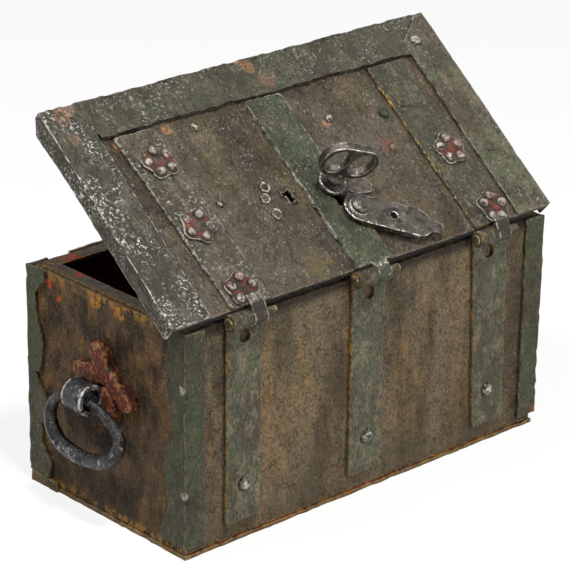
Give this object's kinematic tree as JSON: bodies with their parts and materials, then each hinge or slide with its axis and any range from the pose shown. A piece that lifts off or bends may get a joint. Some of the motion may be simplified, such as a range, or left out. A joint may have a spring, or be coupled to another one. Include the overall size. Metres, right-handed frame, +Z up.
{
  "type": "iron casket",
  "caption": "Small sheet-iron casket bound with straps, with a hinged lid, a key-driven lock under the lid, a keyhole cover and a drop ring on each end.",
  "frame": {"origin": "middle of the underside of the bottom plate, on the surface it stands on", "axes": "+X along the length to the right of somebody in front of it, +Y to the hinge side, +Z up"},
  "size_m": [0.2722, 0.1264, 0.2004],
  "materials": {
    "brown_sheet_iron": "thin brown paint and rust over sheet iron",
    "green_painted_iron": "worn grey-green paint over strap iron",
    "red_rim_iron": "dark red paint over angle iron",
    "red_painted_iron": "traces of red paint over forged iron",
    "polished_iron": "bare forged iron, dark polish",
    "lock_iron": "bare filed iron, browned"
  },
  "bodies": {
    "casket": {"bottom_plate": "brown_sheet_iron", "front_wall": "brown_sheet_iron", "back_wall": "brown_sheet_iron", "left_end_wall": "brown_sheet_iron", "right_end_wall": "brown_sheet_iron", "rim_angle_front": "red_rim_iron", "rim_angle_back": "red_rim_iron", "rim_angle_left": "red_rim_iron", "rim_angle_right": "red_rim_iron", "corner_band_back_right": "green_painted_iron", "corner_band_front_right": "green_painted_iron", "corner_band_back_left": "green_painted_iron", "corner_band_front_left": "green_painted_iron", "back_strap_left": "green_painted_iron", "front_strap_left": "green_painted_iron", "hinge_pin_left": "polished_iron", "back_strap_centre": "green_painted_iron", "front_strap_centre": "green_painted_iron", "hinge_pin_centre": "polished_iron", "back_strap_right": "green_painted_iron", "front_strap_right": "green_painted_iron", "hinge_pin_right": "polished_iron", "handle_plate_left": "red_painted_iron", "handle_staple_left": "polished_iron", "handle_plate_right": "red_painted_iron", "handle_staple_right": "polished_iron"},
    "lid": {"lid_plate": "brown_sheet_iron", "lid_band_front": "green_painted_iron", "lid_band_left": "green_painted_iron", "lid_band_right": "green_painted_iron", "lid_strap_left": "green_painted_iron", "lid_strap_centre": "green_painted_iron", "lid_strap_right": "green_painted_iron", "hinge_leaf_left": "red_painted_iron", "hinge_leaf_right": "red_painted_iron", "lid_rosette_right_front": "red_painted_iron", "lid_rosette_right_rear": "red_painted_iron", "lid_rosette_left_front": "red_painted_iron", "lid_rosette_left_rear": "red_painted_iron", "keyhole_tab": "red_painted_iron", "cover_rivet": "polished_iron", "bolt_keeper_inner_left": "lock_iron", "bolt_keeper_outer_left": "lock_iron", "tongue_keeper_left": "lock_iron", "bolt_keeper_inner_right": "lock_iron", "bolt_keeper_outer_right": "lock_iron", "tongue_keeper_right": "lock_iron", "lock_bridge": "lock_iron", "drill_pin": "polished_iron", "bolt_spring": "polished_iron"},
    "ring_left": {"ring_handle_left": "polished_iron"},
    "ring_right": {"ring_handle_right": "polished_iron"},
    "key": {"key": "polished_iron"},
    "keyhole_cover": {"keyhole_cover": "polished_iron"},
    "lock_slide": {"lock_slide": "lock_iron"},
    "side_bolt_left": {"side_bolt_left": "polished_iron"},
    "side_bolt_right": {"side_bolt_right": "polished_iron"}
  },
  "joints": [
    {"name": "lid_hinge", "type": "hinge", "parent": "casket", "child": "lid", "pos_m": [0, 0.0618, 0.1162], "axis": [-1, 0, 0], "range_deg": [-39, 71]},
    {"name": "ring_right_swing", "type": "hinge", "parent": "casket", "child": "ring_right", "pos_m": [0.1281, -0.006, 0.0633], "axis": [0, -1, 0], "range_deg": [-8, 165]},
    {"name": "ring_left_swing", "type": "hinge", "parent": "casket", "child": "ring_left", "pos_m": [-0.1281, -0.006, 0.0633], "axis": [0, 1, 0], "range_deg": [-8, 165]},
    {"name": "key_turn", "type": "hinge", "parent": "lid", "child": "key", "pos_m": [-0.001, 0.02531, 0.1509], "axis": [0, 0.6293, 0.7771], "range_deg": [0, 50]},
    {"name": "slide_throw", "type": "slide", "parent": "lid", "child": "lock_slide", "axis": [0, -0.7771, 0.6293], "range_m": [0, 0.00886]},
    {"name": "side_bolt_right_throw", "type": "slide", "parent": "lid", "child": "side_bolt_right", "axis": [1, 0, 0], "range_m": [0, 0.00886]},
    {"name": "side_bolt_left_throw", "type": "slide", "parent": "lid", "child": "side_bolt_left", "axis": [-1, 0, 0], "range_m": [0, 0.00886]},
    {"name": "cover_swing", "type": "hinge", "parent": "lid", "child": "keyhole_cover", "pos_m": [-0.0063, 0.03859, 0.14014], "axis": [0, 0.6293, 0.7771], "range_deg": [-22, 70]}
  ],
  "couplings": [
    {"joint": "key_turn", "follows": "slide_throw", "rad_per_m": 98.494},
    {"joint": "side_bolt_right_throw", "follows": "slide_throw", "ratio": 1},
    {"joint": "side_bolt_left_throw", "follows": "slide_throw", "ratio": 1}
  ]
}
